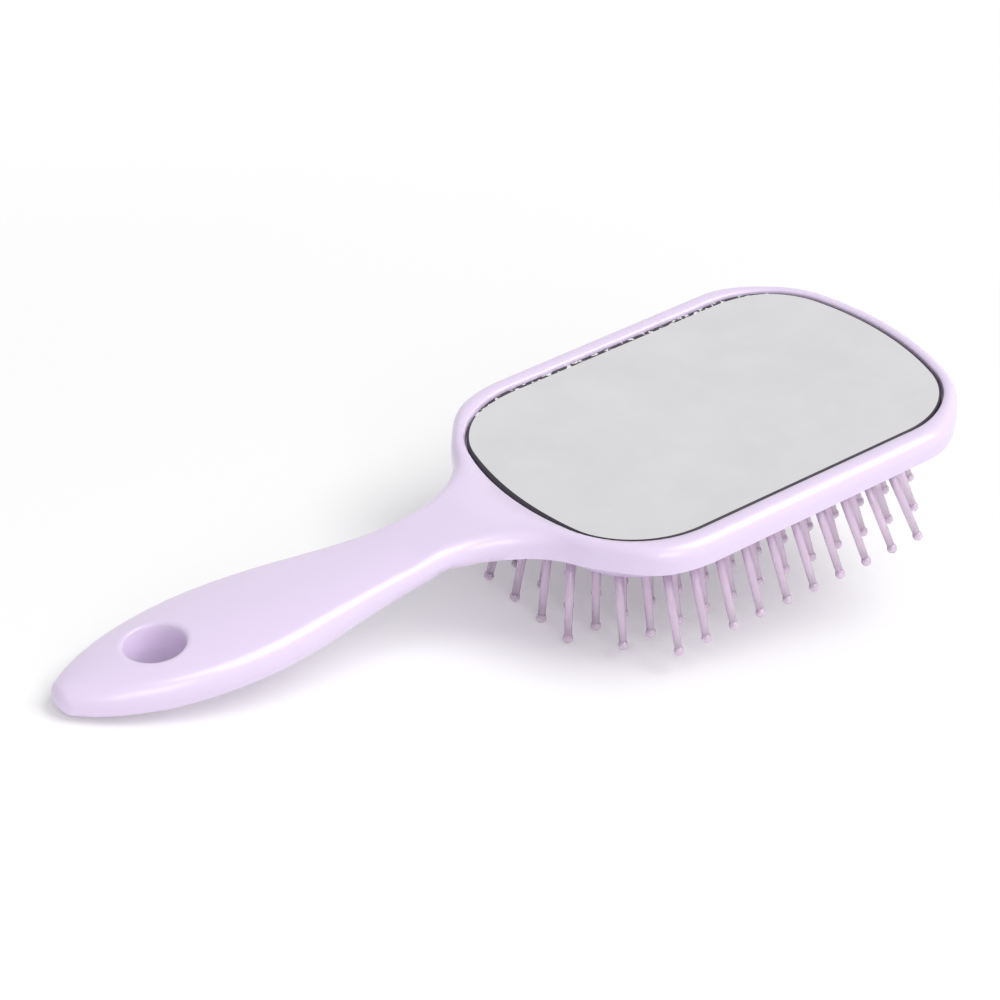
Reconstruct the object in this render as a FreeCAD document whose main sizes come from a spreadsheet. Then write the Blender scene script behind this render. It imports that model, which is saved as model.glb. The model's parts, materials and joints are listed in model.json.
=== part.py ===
import FreeCAD
import Part
import math
import os
import Sketcher

Vector = FreeCAD.Vector

# Paddle hair brush with a mirror in the back of its head. Each piece is drawn in the head's own frame:
# X runs towards the toe, Y across the head, Z out of the mirror, and Z = 0 is the top of the rim.
# At the end the whole brush is laid down pins first, resting on its tail and on its heel pins.

SIZES = {
    # Mirror opening, seen from above
    "opening_length": 104.0,
    "opening_width": 70.4,
    "toe_end_radius": 74.0,
    "toe_corner_radius": 20.7,
    "heel_end_radius": 67.0,
    "heel_corner_radius": 23.1,
    # Head frame
    "rim_width": 5.3,
    "head_thickness": 7.6,
    "rim_round": 3.1,
    "lip_chamfer": 0.5,
    "flank_inset": 2.2,
    "parting_land": 0.3,
    "neck_radius": 24.0,
    "waist_width": 18.4,
    # Mirror, its adhesive and the recess that holds them
    "mirror_depth": 0.5,
    "mirror_thickness": 1.2,
    "mirror_gap": 0.4,
    "mirror_bevel": 0.35,
    "tape_thickness": 0.25,
    "tape_inset": 2.5,
    # Cushion, its seat and the air chamber behind it
    "seat_inset": 2.4,
    "seat_depth": 1.6,
    "seat_clearance": 0.15,
    "chamber_inset": 4.6,
    "web_thickness": 1.6,
    "cushion_wall": 1.5,
    "cushion_drop": 4.7,
    "cushion_edge_width": 1.6,
    "cushion_edge_height": 2.6,
    "vent_diameter": 1.6,
    # Handle
    "belly_reach": 48.0,
    "belly_width": 30.7,
    "tail_reach": 88.5,
    "tail_side_radius": 72.0,
    "handle_shoulder": 3.9,
    "belly_thickness": 10.7,
    "tail_thickness": 5.2,
    "tail_rise": 2.3,
    "hole_diameter": 12.6,
    "hole_reach": 63.2,
    "hole_chamfer": 0.9,
    # Pins
    "pin_length": 20.3,
    "pin_root_diameter": 2.1,
    "pin_neck_diameter": 1.6,
    "pin_ball_diameter": 2.3,
    "pin_tip_diameter": 1.1,
    "pin_foot_diameter": 3.2,
    "pin_foot_height": 0.9,
    "pin_foot_clearance": 0.15,
    "pin_hole_clearance": 0.05,
    "field_end_margin": 8.125,
    "field_side_margin": 8.25,
    "field_offset": -1.0,
    "fan_along": 0.1,
    "fan_across": 0.306,
}

# Pins in each crosswise row, from the heel to the toe
PINS_IN_ROW = (4, 6, 8, 8, 8, 8, 8, 8, 8, 8, 8, 8, 6, 4)

doc = FreeCAD.newDocument("paddle_brush")
sheet = doc.addObject("Spreadsheet::Sheet", "sizes")
for line, (alias, number) in enumerate(SIZES.items(), start=1):
    sheet.set(f"A{line}", alias)
    sheet.set(f"B{line}", str(number))
    sheet.setAlias(f"B{line}", alias)
doc.recompute()


def size(alias):
    return float(sheet.get(alias))


# Shared geometry of the head's outline

half_length = size("opening_length") / 2
half_width = size("opening_width") / 2
rim = size("rim_width")


def corner_centre(end_radius, corner_radius):
    """Centre of a corner arc: how far it lies inside the end of the opening, and from the middle line."""
    across = half_width - corner_radius
    along = end_radius - math.sqrt((end_radius - corner_radius) ** 2 - across**2)
    return half_length - along, across


toe_corner_x, toe_corner_y = corner_centre(size("toe_end_radius"), size("toe_corner_radius"))
heel_corner_x, heel_corner_y = corner_centre(size("heel_end_radius"), size("heel_corner_radius"))
heel_corner_x = -heel_corner_x
heel_outer_radius = size("heel_corner_radius") + rim
neck_centre_y = size("waist_width") / 2 + size("neck_radius")
neck_span = heel_outer_radius + size("neck_radius")
waist_x = heel_corner_x - math.sqrt(neck_span**2 - (neck_centre_y - heel_corner_y) ** 2)

HEEL_CORNER_X = (
    "sizes.heel_end_radius - sizes.opening_length / 2"
    " - sqrt((sizes.heel_end_radius - sizes.heel_corner_radius) ^ 2"
    " - (sizes.opening_width / 2 - sizes.heel_corner_radius) ^ 2)"
)


# Sketch and feature helpers


def new_body(label):
    body = doc.addObject("PartDesign::Body", label)
    body.Label = label
    return body


def new_sketch(body, name, role, height=None):
    """A sketch on one of the body's own origin planes, lifted by an expression of sheet cells."""
    sketch = body.newObject("Sketcher::SketchObject", name)
    plane = next(f for f in body.Origin.OriginFeatures if f.Role == role)
    sketch.AttachmentSupport = [(plane, "")]
    sketch.MapMode = "FlatFace"
    if height:
        sketch.setExpression("AttachmentOffset.Base.z", height)
    doc.recompute()
    return sketch


def arc(centre_x, centre_y, radius, start, end):
    circle = Part.Circle(Vector(centre_x, centre_y, 0), Vector(0, 0, 1), radius)
    return Part.ArcOfCircle(circle, start, end)


def segment(start_x, start_y, end_x, end_y):
    return Part.LineSegment(Vector(start_x, start_y, 0), Vector(end_x, end_y, 0))


def bind(sketch, constraint, expression):
    """Adds a dimension and ties it to sheet cells."""
    index = sketch.addConstraint(constraint)
    sketch.setExpression(f"Constraints[{index}]", expression)


START, END, MIDDLE = 1, 2, 3
X_AXIS, Y_AXIS, ORIGIN = -1, -2, -1


def opening_sketch(body, name, inset, height):
    """The mirror opening's outline, drawn in by an inset: two end arcs, four corners and two straight sides."""
    sketch = new_sketch(body, name, "XY_Plane", height)
    offset = sum(sign * size(alias) for sign, alias in inset)
    words = "".join(f" {'-' if sign > 0 else '+'} sizes.{alias}" for sign, alias in inset)
    toe, toe_corner = size("toe_end_radius") - offset, size("toe_corner_radius") - offset
    heel, heel_corner = size("heel_end_radius") - offset, size("heel_corner_radius") - offset
    side = half_width - offset
    toe_x = half_length - size("toe_end_radius")
    heel_x = size("heel_end_radius") - half_length
    toe_turn = math.atan2(toe_corner_y, toe_corner_x - toe_x)
    heel_turn = math.atan2(heel_corner_y, heel_corner_x - heel_x)
    quarter, half = math.pi / 2, math.pi
    curves = (
        arc(toe_x, 0, toe, -toe_turn, toe_turn),
        arc(toe_corner_x, toe_corner_y, toe_corner, toe_turn, quarter),
        segment(toe_corner_x, side, heel_corner_x, side),
        arc(heel_corner_x, heel_corner_y, heel_corner, quarter, heel_turn),
        arc(heel_x, 0, heel, heel_turn, 2 * half - heel_turn),
        arc(heel_corner_x, -heel_corner_y, heel_corner, 2 * half - heel_turn, 3 * quarter),
        segment(heel_corner_x, -side, toe_corner_x, -side),
        arc(toe_corner_x, -toe_corner_y, toe_corner, 3 * quarter, 2 * half - toe_turn),
    )
    for curve in curves:
        sketch.addGeometry(curve)
    for first in range(len(curves)):
        sketch.addConstraint(Sketcher.Constraint("Tangent", first, END, (first + 1) % len(curves), START))
    for end_arc in (0, 4):
        sketch.addConstraint(Sketcher.Constraint("PointOnObject", end_arc, MIDDLE, X_AXIS))
    for straight in (2, 6):
        sketch.addConstraint(Sketcher.Constraint("Horizontal", straight))
    sketch.addConstraint(Sketcher.Constraint("Equal", 1, 7))
    sketch.addConstraint(Sketcher.Constraint("Equal", 3, 5))
    bind(sketch, Sketcher.Constraint("Radius", 0, toe), "sizes.toe_end_radius" + words)
    bind(sketch, Sketcher.Constraint("Radius", 1, toe_corner), "sizes.toe_corner_radius" + words)
    bind(sketch, Sketcher.Constraint("Radius", 3, heel_corner), "sizes.heel_corner_radius" + words)
    bind(sketch, Sketcher.Constraint("Radius", 4, heel), "sizes.heel_end_radius" + words)
    width = "sizes.opening_width / 2" + words
    bind(sketch, Sketcher.Constraint("DistanceY", ORIGIN, START, 2, START, side), width)
    bind(sketch, Sketcher.Constraint("DistanceY", 6, START, ORIGIN, START, side), width)
    bind(sketch, Sketcher.Constraint("DistanceX", 0, MIDDLE, ORIGIN, START, -toe_x),
         "sizes.toe_end_radius - sizes.opening_length / 2")
    bind(sketch, Sketcher.Constraint("DistanceX", ORIGIN, START, 4, MIDDLE, heel_x),
         "sizes.heel_end_radius - sizes.opening_length / 2")
    doc.recompute()
    return sketch


def head_sketch(body):
    """The outer outline of head and neck, from the toe to the waist where the handle starts."""
    sketch = new_sketch(body, "head_outline", "XY_Plane")
    toe, toe_corner = size("toe_end_radius") + rim, size("toe_corner_radius") + rim
    neck = size("neck_radius")
    side = half_width + rim
    waist = size("waist_width") / 2
    toe_x = half_length - size("toe_end_radius")
    toe_turn = math.atan2(toe_corner_y, toe_corner_x - toe_x)
    neck_turn = math.atan2(neck_centre_y - heel_corner_y, waist_x - heel_corner_x)
    quarter, whole = math.pi / 2, 2 * math.pi
    curves = (
        arc(toe_x, 0, toe, -toe_turn, toe_turn),
        arc(toe_corner_x, toe_corner_y, toe_corner, toe_turn, quarter),
        segment(toe_corner_x, side, heel_corner_x, side),
        arc(heel_corner_x, heel_corner_y, heel_outer_radius, quarter, neck_turn),
        arc(waist_x, neck_centre_y, neck, 3 * quarter, whole - (math.pi - neck_turn)),
        segment(waist_x, waist, waist_x, -waist),
        arc(waist_x, -neck_centre_y, neck, math.pi - neck_turn, quarter),
        arc(heel_corner_x, -heel_corner_y, heel_outer_radius, whole - neck_turn, 3 * quarter),
        segment(heel_corner_x, -side, toe_corner_x, -side),
        arc(toe_corner_x, -toe_corner_y, toe_corner, 3 * quarter, whole - toe_turn),
    )
    for curve in curves:
        sketch.addGeometry(curve)
    joins = ((0, END, 1, START), (1, END, 2, START), (2, END, 3, START), (3, END, 4, END),
             (6, START, 7, START), (7, END, 8, START), (8, END, 9, START), (9, END, 0, START))
    for join in joins:
        sketch.addConstraint(Sketcher.Constraint("Tangent", *join))
    for join in ((4, START, 5, START), (5, END, 6, END)):
        sketch.addConstraint(Sketcher.Constraint("Perpendicular", *join))
    sketch.addConstraint(Sketcher.Constraint("PointOnObject", 0, MIDDLE, X_AXIS))
    sketch.addConstraint(Sketcher.Constraint("Symmetric", 5, START, 5, END, X_AXIS))
    for straight in (2, 8):
        sketch.addConstraint(Sketcher.Constraint("Horizontal", straight))
    for pair in ((1, 9), (3, 7), (4, 6)):
        sketch.addConstraint(Sketcher.Constraint("Equal", *pair))
    bind(sketch, Sketcher.Constraint("Radius", 0, toe), "sizes.toe_end_radius + sizes.rim_width")
    bind(sketch, Sketcher.Constraint("Radius", 1, toe_corner), "sizes.toe_corner_radius + sizes.rim_width")
    bind(sketch, Sketcher.Constraint("Radius", 3, heel_outer_radius),
         "sizes.heel_corner_radius + sizes.rim_width")
    bind(sketch, Sketcher.Constraint("Radius", 4, neck), "sizes.neck_radius")
    width = "sizes.opening_width / 2 + sizes.rim_width"
    bind(sketch, Sketcher.Constraint("DistanceY", ORIGIN, START, 2, START, side), width)
    bind(sketch, Sketcher.Constraint("DistanceY", 8, START, ORIGIN, START, side), width)
    bind(sketch, Sketcher.Constraint("DistanceX", 0, MIDDLE, ORIGIN, START, -toe_x),
         "sizes.toe_end_radius - sizes.opening_length / 2")
    bind(sketch, Sketcher.Constraint("DistanceX", 3, MIDDLE, ORIGIN, START, -heel_corner_x),
         f"-({HEEL_CORNER_X})")
    bind(sketch, Sketcher.Constraint("DistanceY", ORIGIN, START, 4, START, waist), "sizes.waist_width / 2")
    doc.recompute()
    return sketch


def pad(body, sketch, name, length, upward=True):
    feature = body.newObject("PartDesign::Pad", name)
    feature.Profile = sketch
    feature.setExpression("Length", length)
    feature.Reversed = not upward
    doc.recompute()
    return feature


def pocket(body, sketch, name, depth, upward=False):
    """Cuts from the sketch into the solid and makes sure that something was cut."""
    before = body.Shape.Volume
    feature = body.newObject("PartDesign::Pocket", name)
    feature.Profile = sketch
    feature.setExpression("Length", depth)
    feature.Reversed = upward
    doc.recompute()
    if body.Shape.Volume >= before:
        raise ValueError(f"{name} cuts nothing")
    return feature


def dress(body, kind, base, name, test):
    """A fillet or chamfer on every edge of the base that passes a test on its middle point."""
    names = []
    for number, edge in enumerate(base.Shape.Edges, start=1):
        middle = edge.valueAt((edge.FirstParameter + edge.LastParameter) / 2)
        if test(middle):
            names.append(f"Edge{number}")
    feature = body.newObject(f"PartDesign::{kind}", name)
    feature.Base = (base, names)
    return feature


TOUCHING = 1e-4


def near(first, second):
    return abs(first - second) < TOUCHING


def on_edges(shape, point):
    spot = Part.Vertex(point)
    return any(edge.distToShape(spot)[0] < TOUCHING for edge in shape.Edges)


# Body: head frame and neck

frame_bottom = -size("head_thickness")
just_past_waist = waist_x + 10 * TOUCHING

head = new_body("head_frame")
block = pad(head, head_sketch(head), "head_block", "sizes.head_thickness", upward=False)

rounding = dress(head, "Fillet", block, "rim_rounding", lambda p: near(p.z, 0) and p.x > just_past_waist)
rounding.setExpression("Radius", "sizes.rim_round")
doc.recompute()

flank = dress(head, "Chamfer", rounding, "tapered_flank",
              lambda p: near(p.z, frame_bottom) and p.x > just_past_waist)
flank.ChamferType = "Two distances"
flank.setExpression("Size", "sizes.flank_inset")
flank.setExpression("Size2", "sizes.head_thickness - sizes.rim_round - sizes.parting_land")
doc.recompute()

RECESS_DEPTH = "sizes.mirror_depth + sizes.mirror_thickness + sizes.tape_thickness"
FRAME_BOTTOM = "-sizes.head_thickness"
recess = pocket(head, opening_sketch(head, "recess_outline", (), None), "mirror_recess", RECESS_DEPTH)
lip = dress(head, "Chamfer", recess, "recess_lip", lambda p: near(p.z, 0) and not on_edges(flank.Shape, p))
lip.setExpression("Size", "sizes.lip_chamfer")
doc.recompute()
chamber_sketch = opening_sketch(head, "chamber_outline", ((1, "chamber_inset"),), FRAME_BOTTOM)
CHAMBER_DEPTH = f"sizes.head_thickness - ({RECESS_DEPTH}) - sizes.web_thickness"
pocket(head, chamber_sketch, "air_chamber", CHAMBER_DEPTH, upward=True)
seat_sketch = opening_sketch(head, "seat_outline", ((1, "seat_inset"),), FRAME_BOTTOM)
pocket(head, seat_sketch, "cushion_seat", "sizes.seat_depth", upward=True)

# Body: handle, lofted from the waist through the belly to the tail

belly_x = waist_x - size("belly_reach")
tail_x = waist_x - size("tail_reach")
hole_x = waist_x - size("hole_reach")
belly_half = size("belly_width") / 2
side_radius = size("tail_side_radius")
side_centre_y = belly_half - side_radius
tail_length = belly_x - tail_x
nose_radius = (side_radius**2 - side_centre_y**2 - tail_length**2) / (2 * (side_radius - tail_length))
nose_start_x = belly_x - side_radius * (tail_length - nose_radius) / (side_radius - nose_radius)

# The taper starts slowly at this power. Where the handle gets too thin for its shoulder radius and its
# parting land, they shrink to these shares of the half section.
TAPER_POWER = 3
SHOULDER_SHARE = 0.8
LAND_SHARE = 0.25


def ease(start, end, share):
    """A smooth step between two sizes."""
    return start + (end - start) * (1 - math.cos(math.pi * share)) / 2


def waist_to_belly(x):
    return min(1.0, (waist_x - x) / size("belly_reach"))


def belly_to_tail(x):
    return max(0.0, (belly_x - x) / tail_length)


def half_width_at(x):
    """Half the handle's width: an easy swell to the belly, a long side arc and a round nose."""
    if x >= belly_x:
        return ease(size("waist_width") / 2, belly_half, waist_to_belly(x))
    if x >= nose_start_x:
        return side_centre_y + math.sqrt(side_radius**2 - (belly_x - x) ** 2)
    return math.sqrt(nose_radius**2 - (tail_x + nose_radius - x) ** 2)


def thickness_at(x):
    """The handle's thickness: an easy swell to the belly, a taper towards the tail and a round tip."""
    if x >= belly_x:
        return ease(size("head_thickness"), size("belly_thickness"), waist_to_belly(x))
    shrink = size("belly_thickness") - size("tail_thickness")
    thickness = size("belly_thickness") - shrink * belly_to_tail(x) ** TAPER_POWER
    tip_radius = size("tail_thickness") / 2
    into_tip = max(0.0, 1 - (x - tail_x) / tip_radius)
    return thickness * math.sqrt(1 - into_tip**2)


def middle_at(x):
    return size("tail_rise") * ((waist_x - x) / size("tail_reach")) ** 2 - size("head_thickness") / 2


def oval(x, half, top, bottom, parting):
    """Closed outline across the handle: crowned top and bottom, round shoulders and a narrow parting land."""
    land = parting - min(size("parting_land"), LAND_SHARE * (parting - bottom))

    def crown(height):
        """Shoulder radius, crown radius and the angle from upright where the two arcs meet."""
        shoulder = min(size("handle_shoulder"), SHOULDER_SHARE * height, SHOULDER_SHARE * half)
        flat = half - shoulder
        radius = (flat**2 + height**2 - shoulder**2) / (2 * (height - shoulder))
        return shoulder, radius, math.asin(flat / (radius - shoulder))

    def shoulder_arc(side, level, radius, first, last):
        def point(angle):
            return Vector(x, side * (half - radius + radius * math.sin(angle)), level + radius * math.cos(angle))

        return Part.Arc(point(first), point((first + last) / 2), point(last))

    def crown_arc(side, tip, radius, angle):
        """The crown from one side to the other, over the top or under the bottom."""
        lift = 1 if tip == top else -1
        reach, level = radius * math.sin(angle), tip - lift * radius * (1 - math.cos(angle))
        return Part.Arc(Vector(x, -side * reach, level), Vector(x, 0, tip), Vector(x, side * reach, level))

    quarter, half_turn = math.pi / 2, math.pi
    upper, upper_radius, upper_angle = crown(top - parting)
    lower, lower_radius, lower_angle = crown(land - bottom)
    curves = (
        crown_arc(1, top, upper_radius, upper_angle),
        shoulder_arc(1, parting, upper, upper_angle, quarter),
        Part.LineSegment(Vector(x, half, parting), Vector(x, half, land)),
        shoulder_arc(1, land, lower, quarter, half_turn - lower_angle),
        crown_arc(-1, bottom, lower_radius, lower_angle),
        shoulder_arc(-1, land, lower, half_turn - lower_angle, quarter),
        Part.LineSegment(Vector(x, -half, land), Vector(x, -half, parting)),
        shoulder_arc(-1, parting, upper, quarter, upper_angle),
    )
    return Part.Wire([curve.toShape() for curve in curves])


def waist_section():
    """The neck's own section, where the handle starts: flat top, rounded rim, tapered flanks."""
    half, fall = size("waist_width") / 2, size("rim_round")
    land = -fall - size("parting_land")
    flat, foot = half - fall, half - size("flank_inset")
    slant = fall * math.sqrt(0.5)

    def at(y, z):
        return Vector(waist_x, y, z)

    curves = (
        Part.LineSegment(at(-flat, 0), at(flat, 0)),
        Part.Arc(at(flat, 0), at(flat + slant, slant - fall), at(half, -fall)),
        Part.LineSegment(at(half, -fall), at(half, land)),
        Part.LineSegment(at(half, land), at(foot, frame_bottom)),
        Part.LineSegment(at(foot, frame_bottom), at(-foot, frame_bottom)),
        Part.LineSegment(at(-foot, frame_bottom), at(-half, land)),
        Part.LineSegment(at(-half, land), at(-half, -fall)),
        Part.Arc(at(-half, -fall), at(-flat - slant, slant - fall), at(-flat, 0)),
    )
    return Part.Wire([curve.toShape() for curve in curves])


def handle_section(x):
    top = middle_at(x) + thickness_at(x) / 2
    bottom = middle_at(x) - thickness_at(x) / 2
    waist_parting = -size("rim_round")
    parting = ease(waist_parting, middle_at(x), waist_to_belly(x))
    return oval(x, half_width_at(x), top, bottom, parting)


SWELL_STEPS, TAPER_STEPS, NOSE_STEPS = 8, 8, 5
nose_turn = math.acos((tail_x + nose_radius - nose_start_x) / nose_radius)
stations = [waist_x + (belly_x - waist_x) * step / SWELL_STEPS for step in range(1, SWELL_STEPS + 1)]
stations += [belly_x + (nose_start_x - belly_x) * step / TAPER_STEPS for step in range(1, TAPER_STEPS + 1)]
stations += [tail_x + nose_radius * (1 - math.cos(nose_turn * (1 - step / (NOSE_STEPS + 1))))
             for step in range(1, NOSE_STEPS + 1)]
handle = doc.addObject("Part::Feature", "handle_loft")
sections = [waist_section()] + [handle_section(x) for x in stations]
handle.Shape = Part.makeLoft(sections, True, True)

moulding = doc.addObject("Part::Fuse", "head_and_handle")
moulding.Base = head
moulding.Tool = handle
moulding.Refine = True

hole_top = middle_at(hole_x) + thickness_at(hole_x) / 2
hole_bottom = middle_at(hole_x) - thickness_at(hole_x) / 2
drill = doc.addObject("Part::Cylinder", "hanging_hole_drill")
drill.setExpression("Radius", "sizes.hole_diameter / 2")
drill.setExpression("Height", "2 * sizes.belly_thickness")
drill.Placement.Base = Vector(hole_x, 0, middle_at(hole_x) - size("belly_thickness"))


def countersink(name, level, turn):
    """A cone that breaks the hole's edge; it reaches as far outside the surface as inside it."""
    cone = doc.addObject("Part::Cone", name)
    cone.setExpression("Radius1", "sizes.hole_diameter / 2")
    cone.setExpression("Radius2", "sizes.hole_diameter / 2 + 2 * sizes.hole_chamfer")
    cone.setExpression("Height", "2 * sizes.hole_chamfer")
    inside = Vector(0, 0, -size("hole_chamfer"))
    flip = FreeCAD.Rotation(Vector(1, 0, 0), turn)
    cone.Placement = FreeCAD.Placement(Vector(hole_x, 0, level) + flip.multVec(inside), flip)
    return cone


hole = doc.addObject("Part::MultiFuse", "hanging_hole")
hole.Shapes = [drill, countersink("upper_countersink", hole_top, 0),
               countersink("lower_countersink", hole_bottom, 180)]
brush_body = doc.addObject("Part::Cut", "brush_body")
brush_body.Label = "brush_body"
brush_body.Base = moulding
brush_body.Tool = hole
doc.recompute()

# Mirror and its adhesive sheet

mirror_plate = new_body("mirror_plate")
MIRROR_TOP = "-sizes.mirror_depth"
mirror_sketch = opening_sketch(mirror_plate, "mirror_outline", ((1, "mirror_gap"),), MIRROR_TOP)
glass = pad(mirror_plate, mirror_sketch, "mirror_glass", "sizes.mirror_thickness", upward=False)
bevel = dress(mirror_plate, "Chamfer", glass, "mirror_bevel_edge", lambda p: near(p.z, -size("mirror_depth")))
bevel.setExpression("Size", "sizes.mirror_bevel")

mirror_tape = new_body("mirror_tape")
TAPE_TOP = "-sizes.mirror_depth - sizes.mirror_thickness"
tape_sketch = opening_sketch(mirror_tape, "tape_outline", ((1, "tape_inset"),), TAPE_TOP)
pad(mirror_tape, tape_sketch, "tape_sheet", "sizes.tape_thickness", upward=False)

# Cushion: a rubber cup whose skirt stands in the frame's seat

field_x = size("field_offset")
field_z = frame_bottom - size("cushion_drop")
SKIRT_TOP = "sizes.seat_depth - sizes.head_thickness"
CUP_INSET = ((1, "seat_inset"), (1, "seat_clearance"))

cup = new_body("cushion_cup")
cup_sketch = opening_sketch(cup, "cup_outline", CUP_INSET, SKIRT_TOP)
cup_block = pad(cup, cup_sketch, "cup_block", "sizes.seat_depth + sizes.cushion_drop", upward=False)
edge = dress(cup, "Chamfer", cup_block, "drawn_in_edge", lambda p: near(p.z, field_z))
edge.ChamferType = "Two distances"
edge.setExpression("Size", "sizes.cushion_edge_width")
edge.setExpression("Size2", "sizes.cushion_edge_height")
doc.recompute()
hollow_sketch = opening_sketch(cup, "hollow_outline", CUP_INSET + ((1, "cushion_wall"),), SKIRT_TOP)
pocket(cup, hollow_sketch, "cup_hollow", "sizes.seat_depth + sizes.cushion_drop - sizes.cushion_wall")

vent = doc.addObject("Part::Cylinder", "vent_drill")
vent.setExpression("Radius", "sizes.vent_diameter / 2")
vent.setExpression("Height", "4 * sizes.cushion_wall")
vent.Placement.Base = Vector(field_x, 0, field_z - 2 * size("cushion_wall"))

# Pins: one ball-tipped pin, then copies of it that fan out from the cushion. Height 0 of a pin is where
# it leaves the cushion. Its foot widens behind the cushion's skin, which keeps it in, and starts high
# enough that the pin with the steepest lean still clears the skin.


row_pitch = (size("opening_length") - 2 * size("field_end_margin")) / (len(PINS_IN_ROW) - 1)
column_pitch = (size("opening_width") - 2 * size("field_side_margin")) / (max(PINS_IN_ROW) - 1)


def pin_offset(row, column):
    """How far a pin leaves the cushion from the field's middle, along and across the head."""
    out_along = (row - (len(PINS_IN_ROW) - 1) / 2) * row_pitch
    out_across = (column - (PINS_IN_ROW[row] - 1) / 2) * column_pitch
    return out_along, out_across


def pin_lean(row, column):
    """How far the pin's tip stands out from its root, along and across the head."""
    out_along, out_across = pin_offset(row, column)
    return size("fan_along") * out_along, size("fan_across") * out_across


leans = [math.hypot(*pin_lean(row, column))
         for row, count in enumerate(PINS_IN_ROW) for column in range(count)]
steepest = math.asin(max(leans) / size("pin_length"))
skin_top = (size("cushion_wall") + size("pin_foot_clearance")) / math.cos(steepest)
root_dip = size("pin_root_diameter") / 2 * math.tan(steepest)
foot_dip = size("pin_foot_diameter") / 2 * math.tan(steepest) - size("pin_foot_height")
foot_seat = skin_top + max(root_dip, foot_dip)

PIN_SIDES = 6
FOOT_SEAT = f"{foot_seat}"
BALL_Z = "sizes.pin_ball_diameter / 2 - sizes.pin_length"
NECK_Z = f"{BALL_Z} + sqrt((sizes.pin_ball_diameter / 2) ^ 2 - (sizes.pin_neck_diameter / 2) ^ 2)"
PIN_SECTIONS = (
    ("pin_foot", f"{FOOT_SEAT} + sizes.pin_foot_height"),
    ("pin_root", FOOT_SEAT),
    ("pin_neck", NECK_Z),
    ("pin_ball", BALL_Z),
    ("pin_tip", "-sizes.pin_length"),
)


def pin_section(name, level):
    section = doc.addObject("Part::RegularPolygon", f"{name}_section")
    section.Polygon = PIN_SIDES
    section.setExpression("Circumradius", f"sizes.{name}_diameter / 2")
    section.setExpression("Placement.Base.z", level)
    return section


pin = doc.addObject("Part::Loft", "ball_tip_pin")
pin.Sections = [pin_section(name, level) for name, level in PIN_SECTIONS]
pin.Solid = True
pin.Ruled = True
pin.Linearize = True
punch = doc.addObject("Part::Prism", "pin_hole_punch")
punch.Polygon = PIN_SIDES
punch.setExpression("Circumradius", "sizes.pin_root_diameter / 2 + sizes.pin_hole_clearance")
punch.setExpression("Height", "4 * sizes.cushion_wall")
punch.setExpression("Placement.Base.z", "-2 * sizes.cushion_wall")
doc.recompute()


def pin_place(row, column):
    """Where a pin leaves the cushion, and how it leans outwards."""
    out_along, out_across = pin_offset(row, column)
    lean_x, lean_y = pin_lean(row, column)
    drop = math.sqrt(size("pin_length") ** 2 - lean_x**2 - lean_y**2)
    leave = Vector(field_x + out_along, out_across, field_z)
    lean = FreeCAD.Rotation(Vector(0, 0, -1), Vector(lean_x, lean_y, -drop))
    return FreeCAD.Placement(leave, lean)


def placed(shape, place):
    copy = shape.copy()
    copy.Placement = place.multiply(shape.Placement)
    return copy


pin_rows = []
punches = [vent.Shape]
for row, count in enumerate(PINS_IN_ROW):
    places = [pin_place(row, column) for column in range(count)]
    group = doc.addObject("Part::Feature", f"pin_row_{row + 1:02d}")
    group.Label = f"pin_row_{row + 1:02d}"
    group.Shape = Part.makeCompound([placed(pin.Shape, place) for place in places])
    pin_rows.append(group)
    punches += [placed(punch.Shape, place) for place in places]

holes = doc.addObject("Part::Feature", "pin_and_vent_holes")
holes.Shape = Part.makeCompound(punches)
cushion_pad = doc.addObject("Part::Cut", "cushion_pad")
cushion_pad.Label = "cushion_pad"
cushion_pad.Base = cup
cushion_pad.Tool = holes
doc.recompute()

# The brush lies on its tail and its heel pins

MESH_STEP = 0.02
STEEPEST_REST = math.radians(30)
HALVINGS = 40


def surface_points(shapes):
    return [point for shape in shapes for point in shape.tessellate(MESH_STEP)[0]]


def height(point, pitch):
    return point.x * math.sin(pitch) + point.z * math.cos(pitch)


def lowest(points, pitch):
    return min(height(point, pitch) for point in points)


body_points = surface_points([brush_body.Shape])
tail_points = [point for point in body_points if point.x < belly_x]
pin_points = surface_points([group.Shape for group in pin_rows])
flat_pitch, steep_pitch = 0.0, STEEPEST_REST
for _ in range(HALVINGS):
    pitch = (flat_pitch + steep_pitch) / 2
    if lowest(pin_points, pitch) < lowest(tail_points, pitch):
        flat_pitch = pitch
    else:
        steep_pitch = pitch

reach = [point.x * math.cos(pitch) - point.z * math.sin(pitch) for point in body_points + pin_points]
rest = FreeCAD.Placement(
    Vector(-(min(reach) + max(reach)) / 2, 0, -lowest(pin_points, pitch)),
    FreeCAD.Rotation(Vector(0, 1, 0), -math.degrees(pitch)),
)

nodes = [brush_body, mirror_plate, mirror_tape, cushion_pad] + pin_rows
failed = [item.Name for item in doc.Objects if {"Invalid", "Error"} & set(item.State)]
broken = [node.Label for node in nodes if node.Shape.isNull() or not node.Shape.isValid()]
if failed or broken:
    raise RuntimeError(f"failed objects {failed}, broken shapes {broken}")

os.makedirs("parts", exist_ok=True)
for node in nodes:
    node.Placement = rest
    node.Shape.exportStep(f"parts/{node.Label}.step")
print(f"rest pitch {math.degrees(pitch):.2f} degrees, {len(nodes)} nodes, {sum(PINS_IN_ROW)} pins")
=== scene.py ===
import json
import math
from collections import namedtuple

import bmesh
import bpy
from bpy.props import FloatProperty, FloatVectorProperty, IntProperty, PointerProperty
from mathutils import Matrix, Vector


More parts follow.
